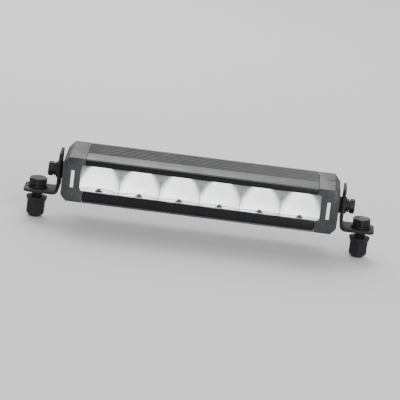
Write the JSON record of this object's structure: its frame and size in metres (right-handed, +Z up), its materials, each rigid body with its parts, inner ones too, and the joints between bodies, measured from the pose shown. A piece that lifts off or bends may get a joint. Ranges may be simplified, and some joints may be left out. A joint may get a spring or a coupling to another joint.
{
  "type": "led light bar",
  "caption": "Slim finned LED light bar with a clear lens over parabolic reflector cells, hung on two L brackets that let it tilt, with bolts and domed flange nuts for a vehicle panel.",
  "frame": {"origin": "midway between the two foot bolts, on the plane of the undersides of the two feet, which rest on the vehicle's panel", "axes": "+X along the bar, +Y to the rear, so the lens faces -Y, +Z up"},
  "size_m": [0.2652, 0.0545, 0.0556],
  "materials": {
    "anodised_aluminium": "satin grey anodised",
    "textured_cast_cap": "fine textured dark grey coat on cast aluminium",
    "gloss_black_bezel": "gloss black",
    "clear_lens": "clear polycarbonate, hard coated",
    "vacuum_metallised": "bright vacuum metallised",
    "led_package": "yellow phosphor under a clear dome",
    "white_led_board": "white solder mask on an aluminium core",
    "green_circuit_board": "green solder mask",
    "thermal_pad_grey": "soft filled silicone",
    "black_rubber": "matt",
    "black_moulding": "fine moulded black",
    "black_zinc_steel": "black zinc plated",
    "powder_coated_bracket": "black powder coat",
    "brass_insert": "turned",
    "ferrite_core": "sintered ferrite",
    "capacitor_can": "drawn aluminium can"
  },
  "bodies": {
    "bracket_left": {"bracket_left": "powder_coated_bracket", "foot_bolt_left": "black_zinc_steel", "foot_washer_left": "black_zinc_steel", "foot_nut_left": "black_zinc_steel"},
    "lamp": {"housing_extrusion": "anodised_aluminium", "end_cap_left": "textured_cast_cap", "end_cap_right": "textured_cast_cap", "end_gasket_left": "black_rubber", "end_gasket_right": "black_rubber", "bezel_strip_top": "gloss_black_bezel", "bezel_strip_bottom": "gloss_black_bezel", "lens": "clear_lens", "lens_gasket": "black_rubber", "reflector_1": "vacuum_metallised", "reflector_2": "vacuum_metallised", "reflector_3": "vacuum_metallised", "reflector_4": "vacuum_metallised", "reflector_5": "vacuum_metallised", "reflector_6": "vacuum_metallised", "led_1": "led_package", "led_2": "led_package", "led_3": "led_package", "led_4": "led_package", "led_5": "led_package", "led_6": "led_package", "led_board": "white_led_board", "thermal_pad": "thermal_pad_grey", "driver_board": "green_circuit_board", "driver_inductor": "ferrite_core", "driver_capacitor_1": "capacitor_can", "driver_capacitor_2": "capacitor_can", "driver_chip": "black_moulding", "cable_gland_body": "black_moulding", "cable_gland_nut": "black_moulding", "cable_seal": "black_rubber", "breather_vent": "black_moulding", "cap_screw_left_1": "black_zinc_steel", "cap_screw_left_2": "black_zinc_steel", "cap_screw_left_3": "black_zinc_steel", "cap_screw_left_4": "black_zinc_steel", "cap_screw_right_1": "black_zinc_steel", "cap_screw_right_2": "black_zinc_steel", "cap_screw_right_3": "black_zinc_steel", "cap_screw_right_4": "black_zinc_steel", "side_insert_left": "brass_insert", "side_insert_right": "brass_insert", "friction_washer_left": "black_rubber", "friction_washer_right": "black_rubber", "flat_washer_left": "black_zinc_steel", "flat_washer_right": "black_zinc_steel", "spring_washer_left": "black_zinc_steel", "spring_washer_right": "black_zinc_steel", "side_bolt_left": "black_zinc_steel", "side_bolt_right": "black_zinc_steel"},
    "bracket_right": {"bracket_right": "powder_coated_bracket", "foot_bolt_right": "black_zinc_steel", "foot_washer_right": "black_zinc_steel", "foot_nut_right": "black_zinc_steel"}
  },
  "joints": [
    {"name": "tilt", "type": "hinge", "parent": "bracket_left", "child": "lamp", "pos_m": [0, 0, 0.0175], "axis": [1, 0, 0], "range_deg": [-90, 90]},
    {"name": "right_bracket_pivot", "type": "hinge", "parent": "lamp", "child": "bracket_right", "pos_m": [0, 0, 0.0175], "axis": [1, 0, 0], "range_deg": [-90, 90]}
  ],
  "couplings": [
    {"joint": "right_bracket_pivot", "follows": "tilt", "ratio": -1}
  ]
}
